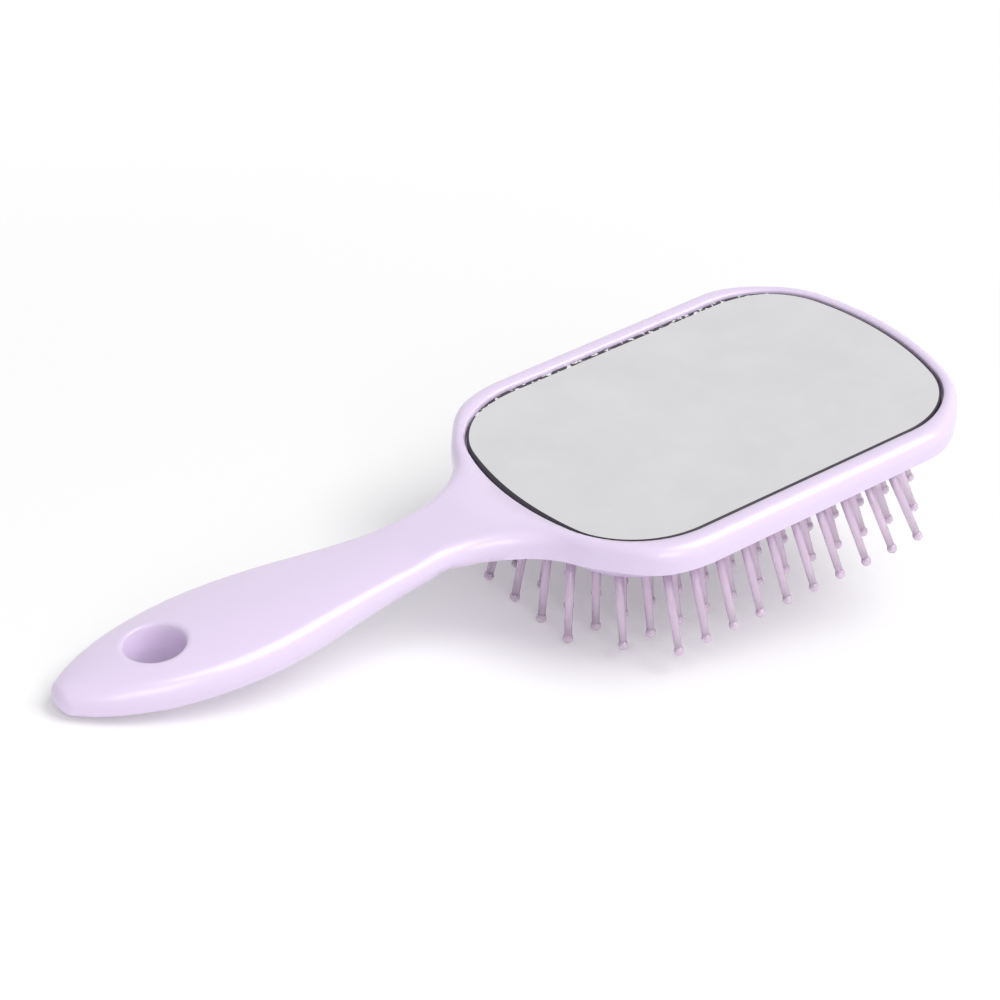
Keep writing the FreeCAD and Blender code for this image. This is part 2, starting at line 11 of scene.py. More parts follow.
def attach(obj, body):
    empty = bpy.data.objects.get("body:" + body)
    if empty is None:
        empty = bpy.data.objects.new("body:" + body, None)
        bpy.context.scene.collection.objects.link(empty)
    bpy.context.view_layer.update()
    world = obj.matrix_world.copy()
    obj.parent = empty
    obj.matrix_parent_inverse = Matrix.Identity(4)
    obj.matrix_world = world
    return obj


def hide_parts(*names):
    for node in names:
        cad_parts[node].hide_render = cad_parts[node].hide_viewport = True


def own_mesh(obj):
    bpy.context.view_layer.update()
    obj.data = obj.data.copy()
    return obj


bl_info = {
    "name": "Paddle Brush with Mirror",
    "version": (1, 0, 0),
    "blender": (4, 5, 0),
    "location": "View3D > Sidebar > Paddle Brush",
    "description": "Dresses a paddle hair brush with a mirror in its back",
    "category": "Object",
}

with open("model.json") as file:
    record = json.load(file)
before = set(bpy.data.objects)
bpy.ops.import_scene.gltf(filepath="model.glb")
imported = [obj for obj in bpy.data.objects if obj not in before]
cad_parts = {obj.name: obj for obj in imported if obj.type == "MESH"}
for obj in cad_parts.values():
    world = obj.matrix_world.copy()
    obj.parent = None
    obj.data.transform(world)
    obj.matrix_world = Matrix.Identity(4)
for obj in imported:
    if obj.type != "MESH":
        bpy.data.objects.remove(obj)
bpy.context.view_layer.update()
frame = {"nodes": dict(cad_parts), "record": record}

MM = 0.001

# Pins in each crosswise row, from the heel to the toe.
PINS_IN_ROW = (4, 6, 8, 8, 8, 8, 8, 8, 8, 8, 8, 8, 6, 4)

# The head's own frame is in millimetres: X towards the toe, Y across, Z out of the mirror, and Z = 0 at
# the top of the rim. The brush lies on its tail and heel pins, so this frame leans by the angle of the
# hanging hole's axis.
hanging_hole = frame["record"]["mounts"][0]
hole_axis = Vector(hanging_hole["axis"])
head_pitch = math.atan2(-hole_axis.x, hole_axis.z)
RIM_CENTRE = Vector((50.867, 0.0, 42.919)) * MM
HEAD = Matrix.Translation(RIM_CENTRE) @ Matrix.Rotation(-head_pitch, 4, "Y") @ Matrix.Scale(MM, 4)
FROM_HEAD = HEAD.inverted()
HOLE_MIDDLE = FROM_HEAD @ Vector(hanging_hole["pos_m"])


def length(name, description, default):
    """A size in millimetres, as the head's frame uses."""
    return FloatProperty(name=name, description=description, default=default, min=0.0)


def signed(name, description, default):
    """A size in millimetres or a ratio that may take either sign."""
    return FloatProperty(name=name, description=description, default=default)


def colour(name, description, default):
    """A colour without alpha."""
    return FloatVectorProperty(
        name=name, description=description, default=default, size=3, subtype="COLOR", min=0.0, max=1.0
    )


class PaddleBrushSizes(bpy.types.PropertyGroup):
    """Sizes that the drawn pieces follow; lengths are in millimetres"""

    field_offset: signed("Field offset", "Middle of the pin field, from the mirror's middle", -1.0)
    field_depth: length("Field depth", "Cushion face below the rim's top", 12.3)
    row_pitch: length("Row pitch", "Distance between crosswise rows of pins", 6.75)
    column_pitch: length("Column pitch", "Distance between pins in a row", 7.7)
    fan_along: signed("Fan along", "How far a tip leans out, for each millimetre towards an end", 0.1)
    fan_across: signed("Fan across", "How far a tip leans out, for each millimetre to a side", 0.306)
    pin_length: length("Pin length", "From the cushion to the end of the ball", 20.3)
    pin_root: length("Pin root", "Pin diameter at the cushion", 2.15)
    pin_neck: length("Pin neck", "Pin diameter at the ball", 1.75)
    pin_ball: length("Pin ball", "Diameter of the ball tip", 2.35)
    pin_sides: IntProperty(name="Pin sides", description="Facets round a pin", default=10, min=6)
    rim_width: length("Rim width", "Width of the rim round the mirror", 5.3)
    rim_slimming: length("Rim slimming", "How much the rim draws in at the head's ends", 2.3)
    heel_deepening: signed("Heel deepening", "Depth of the head's heel, against the solid's", 1.1)
    hole_collar: length("Hole collar", "Depth of the collar under the hanging hole", 0.9)
    tail_shortening: length("Tail shortening", "How much the tail's end draws in", 2.2)
    cushion_inset: length("Cushion inset", "Cushion's edge inside the mirror's edge", 2.15)
    cushion_roll: length("Cushion roll", "Radius of the cushion's rolled edge", 2.1)
    skirt_depth: length("Skirt depth", "Top of the cushion's skirt below the rim's top", 6.0)
    cushion_crown: length("Cushion crown", "Rise of the cushion's middle", 0.5)
    # The mirror's dark edge is painted shade in the gap round the mirror, wider at the heel, and a
    # painted dark reflection of the rim's wall along one side.
    painted_shade_edge: length("Painted shade edge", "Width of the dark edge round the mirror", 0.2)
    heel_painted_shade: length("Heel painted shade", "How much wider the mirror's dark edge is at the heel", 0.75)
    side_painted_reflection: length("Side painted reflection", "How much wider the mirror's dark edge is at one side", 0.9)


class PaddleBrushColours(bpy.types.PropertyGroup):
    """Colours of the finishes"""

    body: colour("Body", "Lilac moulded plastic", (0.79, 0.665, 0.88))
    mirror: colour("Mirror", "Silvered glass", (0.70, 0.69, 0.705))
    # The mirror edge colour is painted shade and painted dark reflection round the glass.
    painted_shade_edge: colour("Painted shade edge", "Dark edge of the silvering", (0.03, 0.025, 0.035))
    tape: colour("Tape", "Adhesive sheet behind the mirror", (0.04, 0.035, 0.045))
    cushion: colour("Cushion", "Lilac rubber", (0.60, 0.46, 0.70))
    pin: colour("Pin", "Clouded lilac plastic", (0.92, 0.76, 0.93))
    floor: colour("Floor", "Pale studio floor", (1.0, 1.0, 1.0))


# Shader nodes


def noise(tree, scale, detail):
    """Noise on object coordinates; scale is in grains for each metre."""
    place = tree.nodes.new("ShaderNodeTexCoord")
    grain = tree.nodes.new("ShaderNodeTexNoise")
    grain.inputs["Scale"].default_value = scale
    grain.inputs["Detail"].default_value = detail
    tree.links.new(place.outputs["Object"], grain.inputs["Vector"])
    return grain.outputs["Fac"]


def remap(tree, value, source=(0.0, 1.0), result=(0.0, 1.0)):
    """Carries a value from one range to another."""
    span = tree.nodes.new("ShaderNodeMapRange")
    span.inputs["From Min"].default_value, span.inputs["From Max"].default_value = source
    span.inputs["To Min"].default_value, span.inputs["To Max"].default_value = result
    tree.links.new(value, span.inputs["Value"])
    return span.outputs["Result"]


def combine(tree, operation, first, second):
    """Joins two values by one step of arithmetic."""
    joint = tree.nodes.new("ShaderNodeMath")
    joint.operation = operation
    tree.links.new(first, joint.inputs[0])
    tree.links.new(second, joint.inputs[1])
    return joint.outputs["Value"]


def shade_between(tree, value, positions, low, high):
    """Runs from a low to a high colour as the value passes from one position to the other."""
    ramp = tree.nodes.new("ShaderNodeValToRGB")
    for stop, position, shade in zip(ramp.color_ramp.elements, positions, (low, high)):
        stop.position = position
        stop.color = (*shade, 1.0)
    tree.links.new(value, ramp.inputs["Fac"])
    return ramp.outputs["Color"]


# Finishes

TINT_POSITIONS = (0.3, 0.7)

# Painted glints in the mirror's painted shade edge, standing in for reflections off crinkled silvering:
# how far across the brush they set in, in metres, the noise levels between which the painted shade turns
# bright, and the bright colour.
GLINT_SIDE = (0.02, 0.03)
GLINT_POSITIONS = (0.54, 0.6)
GLINT_COLOUR = (0.9, 0.9, 0.92)


def finish(name, base, roughness):
    """A new material with its shader's plain sockets set; returns it with its shader and node tree."""
    material = bpy.data.materials.new(name)
    material.use_nodes = True
    shader = material.node_tree.nodes["Principled BSDF"]
    shader.inputs["Base Color"].default_value = (*base, 1.0)
    shader.inputs["Roughness"].default_value = roughness
    return material, shader, material.node_tree


def tint(tree, grain, shader, base, spread):
    """Drifts the base colour a little darker and lighter along the noise."""
    darker = [channel * (1 - spread) for channel in base]
    lighter = [min(1.0, channel * (1 + spread)) for channel in base]
    drift = shade_between(tree, grain, TINT_POSITIONS, darker, lighter)
    tree.links.new(drift, shader.inputs["Base Color"])


def roughen(tree, grain, shader, low, high):
    """Lets the gloss vary along the noise."""
    tree.links.new(remap(tree, grain, result=(low, high)), shader.inputs["Roughness"])


def bump(tree, grain, shader, strength, depth):
    """Fine relief from the noise; depth is in metres."""
    relief = tree.nodes.new("ShaderNodeBump")
    relief.inputs["Strength"].default_value = strength
    relief.inputs["Distance"].default_value = depth
    tree.links.new(grain, relief.inputs["Height"])
    tree.links.new(relief.outputs["Normal"], shader.inputs["Normal"])


def moulded_plastic(base):
    """Lilac plastic with a glossy skin, a slow colour drift and faint orange peel."""
    material, shader, tree = finish("lilac_moulded_plastic", base, roughness=0.34)
    tint(tree, noise(tree, scale=18.0, detail=2.0), shader, base, spread=0.012)
    roughen(tree, noise(tree, scale=60.0, detail=3.0), shader, low=0.28, high=0.38)
    bump(tree, noise(tree, scale=900.0, detail=2.0), shader, strength=0.02, depth=0.0002)
    shader.inputs["Subsurface Weight"].default_value = 0.12
    shader.inputs["Subsurface Radius"].default_value = (0.003, 0.0022, 0.003)
    shader.inputs["Coat Weight"].default_value = 0.55
    shader.inputs["Coat Roughness"].default_value = 0.07
    return material


def silvered_glass(base):
    """Mirror with the slight haze and mottling of a cheap silvered sheet."""
    material, shader, tree = finish("silvered_mirror", base, roughness=0.12)
    tint(tree, noise(tree, scale=90.0, detail=4.0), shader, base, spread=0.025)
    roughen(tree, noise(tree, scale=40.0, detail=2.0), shader, low=0.08, high=0.16)
    bump(tree, noise(tree, scale=25.0, detail=1.0), shader, strength=0.05, depth=0.0005)
    shader.inputs["Metallic"].default_value = 1.0
    return material


def painted_edge_shade_and_glints(base):
    """Painted shade and painted dark reflection at the mirror's edge, with painted glints along one
    side.
    """
    material, shader, tree = finish("painted_shade_mirror_edge", base, roughness=0.4)
    grain = noise(tree, scale=800.0, detail=4.0)
    place = tree.nodes.new("ShaderNodeTexCoord")
    axes = tree.nodes.new("ShaderNodeSeparateXYZ")
    tree.links.new(place.outputs["Object"], axes.inputs["Vector"])
    # Painted glints, set in towards one side of the brush.
    side = remap(tree, axes.outputs["Y"], source=GLINT_SIDE)
    glint_mask = combine(tree, "MULTIPLY", side, grain)
    glinted_shade = shade_between(tree, glint_mask, GLINT_POSITIONS, base, GLINT_COLOUR)
    tree.links.new(glinted_shade, shader.inputs["Base Color"])
    bump(tree, grain, shader, strength=0.3, depth=0.0003)
    shader.inputs["Specular IOR Level"].default_value = 0.3
    return material


def tape_finish(base):
    """Dull dark adhesive sheet."""
    material, shader, tree = finish("adhesive_sheet", base, roughness=0.8)
    tint(tree, noise(tree, scale=400.0, detail=2.0), shader, base, spread=0.2)
    return material


def cushion_rubber(base):
    """Matte rubber with a fine moulded grain."""
    material, shader, tree = finish("lilac_cushion_rubber", base, roughness=0.55)
    tint(tree, noise(tree, scale=30.0, detail=2.0), shader, base, spread=0.04)
    roughen(tree, noise(tree, scale=150.0, detail=2.0), shader, low=0.5, high=0.65)
    bump(tree, noise(tree, scale=1500.0, detail=2.0), shader, strength=0.15, depth=0.0002)
    return material


def pin_plastic(base):
    """Clouded lilac plastic that lets some light through."""
    material, shader, tree = finish("clouded_pin_plastic", base, roughness=0.16)
    tint(tree, noise(tree, scale=120.0, detail=2.0), shader, base, spread=0.06)
    bump(tree, noise(tree, scale=800.0, detail=1.0), shader, strength=0.05, depth=0.0002)
    shader.inputs["Subsurface Weight"].default_value = 0.25
    shader.inputs["Subsurface Radius"].default_value = (0.002, 0.0015, 0.002)
    shader.inputs["Transmission Weight"].default_value = 0.4
    shader.inputs["Coat Weight"].default_value = 0.5
    shader.inputs["Coat Roughness"].default_value = 0.08
    return material


# Pieces

# Corners of a solid's loose triangles that lie this close, in metres, are one corner.
SEAM = 2e-6


def piece(name, body, finishes, bm):
    """Turns a bmesh into a finished object that rides on a body of the brush."""
    mesh = bpy.data.meshes.new(name)
    bm.to_mesh(mesh)
    bm.free()
    if mesh.has_custom_normals:
        mesh.attributes.remove(mesh.attributes["custom_normal"])
    for material in finishes:
        mesh.materials.append(material)
    made = bpy.data.objects.new(name, mesh)
    bpy.context.scene.collection.objects.link(made)
    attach(made, body)
    return made


def merged_copy(node):
    """A bmesh of a solid's surface with its loose triangles sewn together."""
    bm = bmesh.new()
    bm.from_mesh(frame["nodes"][node].data)
    bmesh.ops.remove_doubles(bm, verts=bm.verts, dist=SEAM)
    return bm


def wear(node, material):
    """Gives a solid its finish."""
    target = frame["nodes"][node]
    target.data.materials.clear()
    target.data.materials.append(material)


def shade_smooth(bm):
    """Smooth shading on every face."""
    for face in bm.faces:
        face.smooth = True


def eased(value, start, end):
    """0 at the start, 1 at the end, with no kink at either."""
    share = min(1.0, max(0.0, (value - start) / (end - start)))
    return share * share * (3 - 2 * share)


# Moulded body, in the head's frame

# The mirror opening's two ends: an arc across the end, and an arc in each corner.
End = namedtuple("End", "middle_x radius corner_x corner_y corner_radius")
TOE_END = End(middle_x=-22.0, radius=74.0, corner_x=29.29, corner_y=14.5, corner_radius=20.7)
HEEL_END = End(middle_x=15.0, radius=67.0, corner_x=-27.2, corner_y=12.1, corner_radius=23.1)

# How squarely the rim has to face the toe or the heel for its slimming to start and to be full, and how
# far towards the heel the deepening is full.
TOE_SLIM = (0.1, 0.7)
HEEL_SLIM = (0.35, 0.85)
HEEL_CORNER = 45.0

# The waist is where the handle starts, and the neck runs from it to the head.
WAIST_X = -75.16
NECK_END_X = -46.0

# The handle's underside is carried on into the head, from the overlap behind the waist over the blend's
# length. At the waist it has this half width and depth, a bow between its corners, and a round in each
# corner. From there it widens along an arc of the flare's radius.
NECK_BLEND = 13.0
NECK_HALF = 9.2
NECK_FLARE = 24.5
NECK_DEPTH = 7.64
NECK_BOW = 0.0195
BOW_HALF = 7.0
CORNER_Y = 6.0
CORNER_Z = -3.3
CORNER_RADIUS = 3.4
WAIST_OVERLAP = 1.0

# The seam under the waist is evened out this far to each side, in so many passes of one pull.
WAIST_REACH = 3.5
WAIST_PASSES = 3
WAIST_PULL = 0.5

# Distances from the hanging hole's axis: the outer edge of its chamfers, where the collar is full and
# where it ends, and how far edges near it are soft. The loop is the width of a ring of faces round it.
HOLE_EDGE = 7.4
COLLAR_SPAN = (HOLE_EDGE, 13.0)
HOLE_REACH = 9.0
HOLE_LOOP = 0.7

# The tail, from past the hole to its end.
TAIL_START_X = -146.0
TAIL_END_X = -163.66

# Edges flatter than these angles are shaded smooth. The larger one is for soft edges, such as the lip's.
CREASE = math.radians(18)
SOFT_EDGE = math.radians(62)
LIP_DEPTH = 1.2


def from_hole(point):
    """Distance from the hanging hole's axis."""
    return (point - HOLE_MIDDLE).xy.length


def soft_edge(edge):
    """True on the mirror's lip, the hanging hole's rim, the neck and the tail, which read as rounds."""
    middle = FROM_HEAD @ ((edge.verts[0].co + edge.verts[1].co) / 2)
    on_neck = abs(middle.x - WAIST_X) < NECK_BLEND
    on_tail = middle.x < TAIL_START_X
    return middle.z > -LIP_DEPTH or from_hole(middle) < HOLE_REACH or on_neck or on_tail


def in_hole(face):
    """True on the hanging hole's wall and its chamfers."""
    return all(from_hole(FROM_HEAD @ vert.co) < HOLE_EDGE for vert in face.verts)


def off_mirror(x, y):
    """Distance outside the mirror opening's rounded outline, and the outward direction there."""
    end = TOE_END if x > 0 else HEEL_END
    side = math.copysign(1.0, y)
    along = x - end.middle_x
    off_middle = Vector((along, y))
    off_corner = Vector((x - end.corner_x, y - side * end.corner_y))
    spread = end.corner_y / abs(end.corner_x - end.middle_x)
    if abs(y) <= spread * abs(along) and along * x > 0:
        return off_middle.length - end.radius, off_middle.normalized()
    if abs(x) > abs(end.corner_x) and abs(y) > end.corner_y:
        return off_corner.length - end.corner_radius, off_corner.normalized()
    return abs(y) - end.corner_y - end.corner_radius, Vector((0.0, side))


def neck_rise(point):
    """How far a point under the neck rises to carry on the handle's rounded underside."""
    if not WAIST_X - WAIST_OVERLAP < point.x < WAIST_X + NECK_BLEND:
        return 0.0
    half = NECK_HALF + (point.x - WAIST_X) ** 2 / (2 * NECK_FLARE)
    across = abs(point.y) * NECK_HALF / half
    if across < BOW_HALF:
        under = -NECK_DEPTH + NECK_BOW * across**2
    else:
        under = CORNER_Z - math.sqrt(max(0.0, CORNER_RADIUS**2 - (across - CORNER_Y) ** 2))
    return (1 - eased(point.x, WAIST_X, WAIST_X + NECK_BLEND)) * max(0.0, under - point.z)


def collar_drop(point, depth):
    """How far a point under the hanging hole drops to make its collar."""
    if point.z >= HOLE_MIDDLE.z:
        return 0.0
    return depth * (1 - eased(from_hole(point), *COLLAR_SPAN))


def settle(point, sizes):
    """Moves a point of the moulding: a slimmer rim at the head's ends, deeper at the heel, an even neck,
    a low collar under the hole and a shorter tail."""
    outside, outward = off_mirror(point.x, point.y)
    on_head = eased(point.x, WAIST_X, NECK_END_X)
    endways = eased(outward.x, *TOE_SLIM) if outward.x > 0 else eased(-outward.x, *HEEL_SLIM)
    on_rim = min(1.0, max(0.0, outside / sizes.rim_width))
    slim = sizes.rim_slimming * (on_head * endways) * on_rim
    past_hole = max(0.0, (TAIL_START_X - point.x) / (TAIL_START_X - TAIL_END_X))
    along = sizes.tail_shortening * past_hole**2 - slim * outward.x
    deeper = (sizes.heel_deepening - 1) * on_head * eased(-point.x, 0.0, HEEL_CORNER) * point.z
    up = deeper + neck_rise(point) - collar_drop(point, sizes.hole_collar)
    return point + Vector((along, -slim * outward.y, up))


def under_waist(point):
    """True beside the seam under the neck where the head's flank meets the handle."""
    return abs(point.x - WAIST_X) < WAIST_REACH and point.z < CORNER_Z


class PADDLE_BRUSH_OT_body(bpy.types.Operator):
    """Head frame, neck and handle: one smooth moulding"""

    bl_idname = "paddle_brush.body"
    bl_label = "Moulded body"

    def execute(self, context):
        sizes = context.scene.paddle_sizes
        bm = merged_copy("brush_body")
        for vert in bm.verts:
            vert.co = HEAD @ settle(FROM_HEAD @ vert.co, sizes)
        waist = [vert for vert in bm.verts if under_waist(FROM_HEAD @ vert.co)]
        for _ in range(WAIST_PASSES):
            bmesh.ops.smooth_vert(
                bm, verts=waist, factor=WAIST_PULL, use_axis_x=True, use_axis_y=True, use_axis_z=True
            )
        hole = [face for face in bm.faces if in_hole(face)]
        bmesh.ops.inset_region(
            bm, faces=hole, thickness=HOLE_LOOP * MM, use_outset=True, use_even_offset=True
        )
        shade_smooth(bm)
        for face in bm.faces:
            face.material_index = 0
        for edge in bm.edges:
            limit = SOFT_EDGE if soft_edge(edge) else CREASE
            edge.smooth = not edge.is_manifold or edge.calc_face_angle() < limit
        plastic = moulded_plastic(context.scene.paddle_colours.body)
        made = piece("moulded_body", "brush", [plastic], bm)
        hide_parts("brush_body")
        return {"FINISHED"}


# Mirror and cushion, which share the mirror's outline

# Faces within this angle are one flat face, and a face looks along a direction from this share on.
FLAT = math.radians(1)
FACING = 0.9

# The mirror's farthest points towards the heel and to a side, and how far before them its dark edge of
# painted shade widens.
MIRROR_HEEL = HEEL_END.radius - HEEL_END.middle_x
MIRROR_SIDE = HEEL_END.corner_y + HEEL_END.corner_radius
PAINTED_SHADE_TAPER = 5.5

# The cushion's facets along its rolled edge, and the loops of its crown with the distance between them.
ROLL_SEGMENTS = 6
CROWN_LOOPS = 4
CROWN_SPACING = 2.8


def mirror_copy():
    """A bmesh of the mirror plate with whole flat faces."""
    bm = merged_copy("mirror_plate")
    bmesh.ops.dissolve_limit(bm, angle_limit=FLAT, verts=bm.verts, edges=bm.edges)
    return bm


def broad_face(bm, way):
    """The largest face that looks along a direction."""
    return max(bm.faces, key=lambda face: face.calc_area() * (face.normal.dot(way) > FACING))


def lowest_face(bm):
    """The face farthest from the mirror, or the largest of several."""
    return min(bm.faces, key=lambda face: (face.calc_center_median().dot(hole_axis), -face.calc_area()))


class PADDLE_BRUSH_OT_mirror(bpy.types.Operator):
    """Mirror glass with a dark edge of painted shade and painted glints, and the adhesive sheet behind
    it
    """

    bl_idname = "paddle_brush.mirror"
    bl_label = "Mirror"

    def execute(self, context):
        sizes, colours = context.scene.paddle_sizes, context.scene.paddle_colours
        bm = mirror_copy()
        silvered = broad_face(bm, hole_axis)
        for face in bm.faces:
            face.material_index = 1
        # The ring round the silvered face is painted shade and painted dark reflection; it widens at the
        # heel and at one side.
        bmesh.ops.inset_region(bm, faces=[silvered], thickness=sizes.painted_shade_edge * MM)
        silvered.material_index = 0
        for vert in silvered.verts:
            place = FROM_HEAD @ vert.co
            place.x += sizes.heel_painted_shade * eased(-place.x, MIRROR_HEEL - PAINTED_SHADE_TAPER, MIRROR_HEEL)
            place.y -= sizes.side_painted_reflection * eased(place.y, MIRROR_SIDE - PAINTED_SHADE_TAPER, MIRROR_SIDE)
            vert.co = HEAD @ place
        glass = silvered_glass(colours.mirror)
        # The edge finish is painted shade and painted dark reflection, with painted glints.
        edge = painted_edge_shade_and_glints(colours.painted_shade_edge)
        made = piece("mirror_glass", "brush", [glass, edge], bm)
        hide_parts("mirror_plate")
        wear("mirror_tape", tape_finish(colours.tape))
        return {"FINISHED"}


def crown(bm, face, rise):
    """Swells a flat face in a low parabola, by loops drawn in from its edge."""
    risen = 0.0
    for loop in range(1, CROWN_LOOPS + 1):
        bmesh.ops.inset_region(bm, faces=[face], thickness=CROWN_SPACING * MM)
        level = rise * (1 - (1 - loop / CROWN_LOOPS) ** 2)
        bmesh.ops.translate(bm, verts=face.verts, vec=-hole_axis * (level - risen))
        risen = level


class PADDLE_BRUSH_OT_cushion(bpy.types.Operator):
    """Rubber air cushion with a rolled edge and a low crown"""

    bl_idname = "paddle_brush.cushion"
    bl_label = "Cushion"

    def execute(self, context):
        sizes = context.scene.paddle_sizes
        bm = mirror_copy()
        field = broad_face(bm, -hole_axis)
        bmesh.ops.inset_region(bm, faces=[field], thickness=sizes.cushion_inset * MM)
        bmesh.ops.delete(bm, geom=[face for face in bm.faces if face is not field], context="FACES")
        level = (FROM_HEAD @ field.calc_center_median()).z
        bmesh.ops.translate(bm, verts=bm.verts, vec=hole_axis * (-sizes.skirt_depth - level) * MM)
        skirt = bmesh.ops.extrude_face_region(bm, geom=[field], use_keep_orig=True)
        field = next(item for item in skirt["geom"] if isinstance(item, bmesh.types.BMFace))
        height = sizes.field_depth - sizes.skirt_depth
        bmesh.ops.translate(bm, verts=field.verts, vec=-hole_axis * height * MM)
        bmesh.ops.recalc_face_normals(bm, faces=bm.faces)
        bmesh.ops.bevel(
            bm, geom=list(field.edges), offset=sizes.cushion_roll * MM, segments=ROLL_SEGMENTS,
            profile=0.5, affect="EDGES", material=-1,
        )
        crown(bm, lowest_face(bm), sizes.cushion_crown * MM)
        shade_smooth(bm)
        for edge in bm.edges:
            edge.smooth = edge.calc_face_angle(0.0) < SOFT_EDGE
        rubber = cushion_rubber(context.scene.paddle_colours.cushion)
        made = piece("air_cushion", "brush", [rubber], bm)
        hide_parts("cushion_pad")
        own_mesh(made)
        return {"FINISHED"}


# Pins

# A pin's shaft starts this far inside the cushion.
ROOT_INSIDE = 0.8
BALL_RINGS = 6


def pin_places(sizes, row, count):
    """Matrices that stand a pin, drawn from 0 down to its tip, in each place of a crosswise row."""
    out_along = (row - (len(PINS_IN_ROW) - 1) / 2) * sizes.row_pitch
    for column in range(count):
        out_across = (column - (count - 1) / 2) * sizes.column_pitch
        lean_x, lean_y = sizes.fan_along * out_along, sizes.fan_across * out_across
        drop = math.sqrt(sizes.pin_length**2 - lean_x**2 - lean_y**2)
        leave = Vector((sizes.field_offset + out_along, out_across, -sizes.field_depth))
        lean = Vector((0, 0, -1)).rotation_difference(Vector((lean_x, lean_y, -drop)))
        yield HEAD @ Matrix.Translation(leave) @ lean.to_matrix().to_4x4()


def add_pin(bm, sizes, place):
    """A tapered shaft that starts inside the cushion, and its ball."""
    ball = sizes.pin_ball / 2
    shaft = sizes.pin_length - ball + ROOT_INSIDE
    middle = Matrix.Translation((0, 0, ROOT_INSIDE - shaft / 2))
    bmesh.ops.create_cone(
        bm, cap_ends=True, segments=sizes.pin_sides, radius1=sizes.pin_neck / 2,
        radius2=sizes.pin_root / 2, depth=shaft, matrix=place @ middle,
    )
    tip = Matrix.Translation((0, 0, ball - sizes.pin_length))
    bmesh.ops.create_uvsphere(
        bm, u_segments=sizes.pin_sides, v_segments=BALL_RINGS, radius=ball, matrix=place @ tip
    )


class PADDLE_BRUSH_OT_pins(bpy.types.Operator):
    """Rows of ball-tipped pins that fan out of the cushion"""

    bl_idname = "paddle_brush.pins"
    bl_label = "Pins"

    def execute(self, context):
        sizes = context.scene.paddle_sizes
        plastic = pin_plastic(context.scene.paddle_colours.pin)
        for row, count in enumerate(PINS_IN_ROW):
            bm = bmesh.new()
            for place in pin_places(sizes, row, count):
                add_pin(bm, sizes, place)
            shade_smooth(bm)
            number = f"{row + 1:02d}"
            made = piece(f"ball_tip_pins_{number}", "pins", [plastic], bm)
            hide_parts(f"pin_row_{number}")
        return {"FINISHED"}


# Stage

# The camera in the head's frame: how far it turns from X towards Y, looks down and rolls, its place, and
# its lens in millimetres. It shows what is farther off than the near distance, in metres.
VIEW_TURN = math.radians(57.40990)
VIEW_RISE = math.radians(34.43289)
VIEW_ROLL = math.radians(-4.01484)
VIEW_PLACE = Vector((-355.314, -470.835, 382.822))
VIEW_LENS = 115.2
VIEW_NEAR = 0.01

# Lamps, in metres and watts, the point they look at, and the strength of the white room as a light.
Lamp = namedtuple("Lamp", "place width power")
OVERHEAD_LAMP = Lamp(place=(0.5, -0.75, 1.8), width=1.4, power=26.0)
FRONT_LAMP = Lamp(place=(-0.7, -1.6, 1.0), width=1.0, power=8.5)
LAMP_AIM = Vector((0.0, 0.0, 0.02))
ROOM_LIGHT = 0.42

# The floor, in metres. Its lift to white grows from the lift given here to 1 over the shadow's reach.
FLOOR_SIZE = 6.0
FLOOR_LIFT = 0.25
SHADOW_REACH = (0.1, 0.28)


def view_camera():
    """The camera, set in the head's frame as the photograph shows the brush."""
    flat = math.cos(VIEW_RISE)
    ahead = Vector((flat * math.cos(VIEW_TURN), flat * math.sin(VIEW_TURN), -math.sin(VIEW_RISE)))
    level = Vector((math.sin(VIEW_TURN), -math.cos(VIEW_TURN), 0.0))
    upright = level.cross(ahead)
    right = math.cos(VIEW_ROLL) * level + math.sin(VIEW_ROLL) * upright
    up = math.cos(VIEW_ROLL) * upright - math.sin(VIEW_ROLL) * level
    turn = HEAD.to_3x3().normalized() @ Matrix((right, up, -ahead)).transposed()
    camera = bpy.data.objects.new("view_camera", bpy.data.cameras.new("view_camera"))
    camera.data.lens = VIEW_LENS
    camera.data.clip_start = VIEW_NEAR
    camera.matrix_world = Matrix.Translation(HEAD @ VIEW_PLACE) @ turn.to_4x4()
    bpy.context.scene.collection.objects.link(camera)
    bpy.context.scene.camera = camera


def softbox(name, lamp):
    """A square studio lamp that looks at the brush."""
    made = bpy.data.objects.new(name, bpy.data.lights.new(name, "AREA"))
    made.data.shape = "SQUARE"
    made.data.size = lamp.width
    made.data.energy = lamp.power
    made.location = lamp.place
    made.rotation_euler = (LAMP_AIM - Vector(lamp.place)).to_track_quat("-Z", "Y").to_euler()
    bpy.context.scene.collection.objects.link(made)


def seen_directly(tree):
    """1 for rays that show the background itself: from the camera, off gloss and through the pins."""
    path = tree.nodes.new("ShaderNodeLightPath")
    gloss = combine(tree, "MAXIMUM", path.outputs["Is Camera Ray"], path.outputs["Is Glossy Ray"])
    return combine(tree, "MAXIMUM", gloss, path.outputs["Is Transmission Ray"])


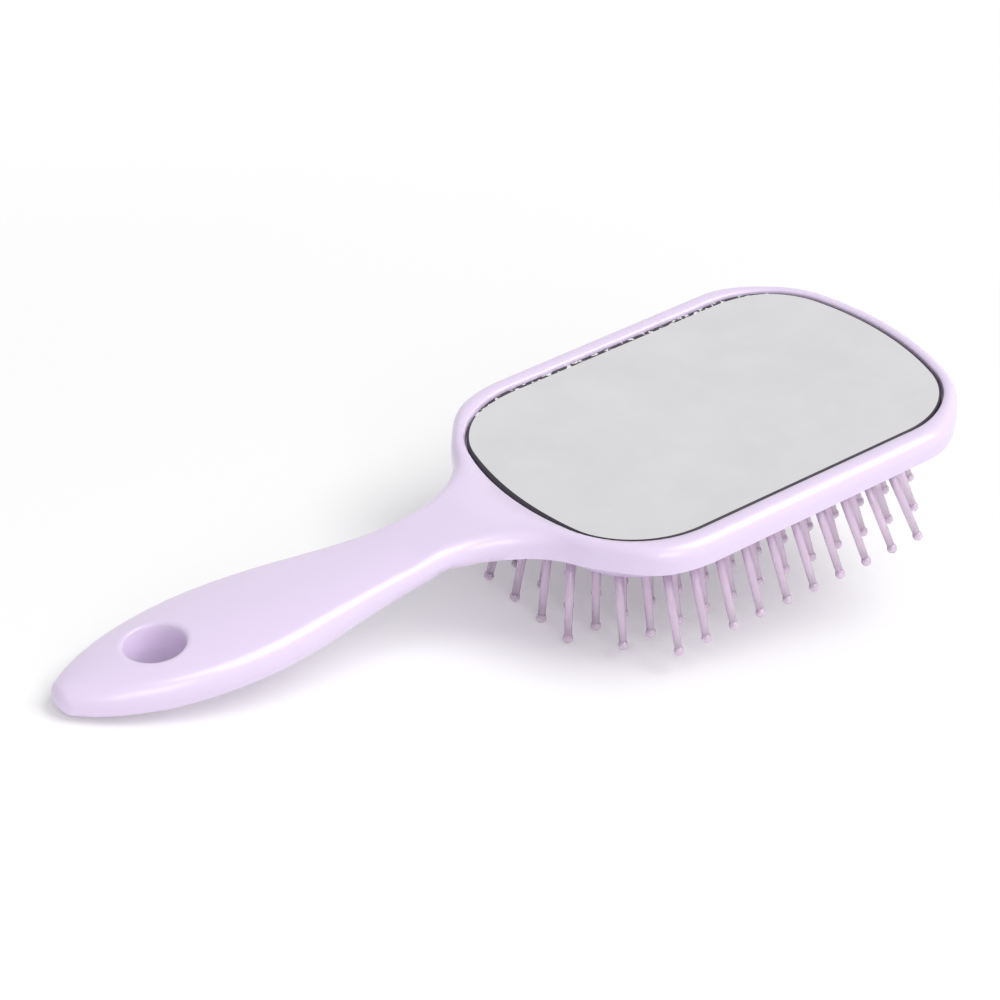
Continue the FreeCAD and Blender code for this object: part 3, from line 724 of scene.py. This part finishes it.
def pale_floor(base):
    """Matte floor that keeps a shadow near the brush and is lifted to white farther off."""
    material = bpy.data.materials.new("pale_floor")
    material.use_nodes = True
    tree = material.node_tree
    tree.nodes.remove(tree.nodes["Principled BSDF"])
    matte = tree.nodes.new("ShaderNodeBsdfDiffuse")
    matte.inputs["Color"].default_value = (*base, 1.0)
    glow = tree.nodes.new("ShaderNodeEmission")
    place = tree.nodes.new("ShaderNodeTexCoord")
    away = tree.nodes.new("ShaderNodeVectorMath")
    away.operation = "LENGTH"
    tree.links.new(place.outputs["Object"], away.inputs[0])
    lift = remap(tree, away.outputs["Value"], source=SHADOW_REACH, result=(FLOOR_LIFT, 1.0))
    mix = tree.nodes.new("ShaderNodeMixShader")
    tree.links.new(combine(tree, "MULTIPLY", seen_directly(tree), lift), mix.inputs["Fac"])
    tree.links.new(matte.outputs["BSDF"], mix.inputs[1])
    tree.links.new(glow.outputs["Emission"], mix.inputs[2])
    tree.links.new(mix.outputs["Shader"], tree.nodes["Material Output"].inputs["Surface"])
    return material


def studio_floor(base):
    """A wide floor under the brush."""
    bm = bmesh.new()
    bmesh.ops.create_grid(bm, x_segments=1, y_segments=1, size=FLOOR_SIZE)
    mesh = bpy.data.meshes.new("studio_floor")
    bm.to_mesh(mesh)
    bm.free()
    mesh.materials.append(pale_floor(base))
    floor = bpy.data.objects.new("studio_floor", mesh)
    bpy.context.scene.collection.objects.link(floor)


def studio_world():
    """Even white surroundings: plain white where they are seen, softer as a light."""
    world = bpy.data.worlds.new("studio")
    world.use_nodes = True
    tree = world.node_tree
    sky = tree.nodes["Background"]
    sky.inputs["Color"].default_value = (1.0, 1.0, 1.0, 1.0)
    level = remap(tree, seen_directly(tree), result=(ROOM_LIGHT, 1.0))
    tree.links.new(level, sky.inputs["Strength"])
    bpy.context.scene.world = world


class PADDLE_BRUSH_OT_stage(bpy.types.Operator):
    """Pale floor, soft studio light and the photograph's camera"""

    bl_idname = "paddle_brush.stage"
    bl_label = "Studio"

    def execute(self, context):
        studio_floor(context.scene.paddle_colours.floor)
        studio_world()
        softbox("overhead_softbox", OVERHEAD_LAMP)
        softbox("front_softbox", FRONT_LAMP)
        view_camera()
        context.scene.view_settings.view_transform = "Standard"
        return {"FINISHED"}


class PADDLE_BRUSH_PT_panel(bpy.types.Panel):
    """Lists the brush's pieces in the order they are made"""

    bl_idname = "PADDLE_BRUSH_PT_panel"
    bl_label = "Paddle Brush"
    bl_space_type = "VIEW_3D"
    bl_region_type = "UI"
    bl_category = "Paddle Brush"

    def draw(self, context):
        for operator in OPERATORS:
            self.layout.operator(operator.bl_idname)


OPERATORS = (
    PADDLE_BRUSH_OT_body,
    PADDLE_BRUSH_OT_mirror,
    PADDLE_BRUSH_OT_cushion,
    PADDLE_BRUSH_OT_pins,
    PADDLE_BRUSH_OT_stage,
)
CLASSES = (PaddleBrushSizes, PaddleBrushColours, *OPERATORS, PADDLE_BRUSH_PT_panel)


def register():
    for item in CLASSES:
        bpy.utils.register_class(item)
    bpy.types.Scene.paddle_sizes = PointerProperty(type=PaddleBrushSizes)
    bpy.types.Scene.paddle_colours = PointerProperty(type=PaddleBrushColours)


def unregister():
    del bpy.types.Scene.paddle_colours
    del bpy.types.Scene.paddle_sizes
    for item in reversed(CLASSES):
        bpy.utils.unregister_class(item)


def main():
    register()
    bpy.ops.paddle_brush.body()
    bpy.ops.paddle_brush.mirror()
    bpy.ops.paddle_brush.cushion()
    bpy.ops.paddle_brush.pins()
    bpy.ops.paddle_brush.stage()


if __name__ == "__main__":
    main()
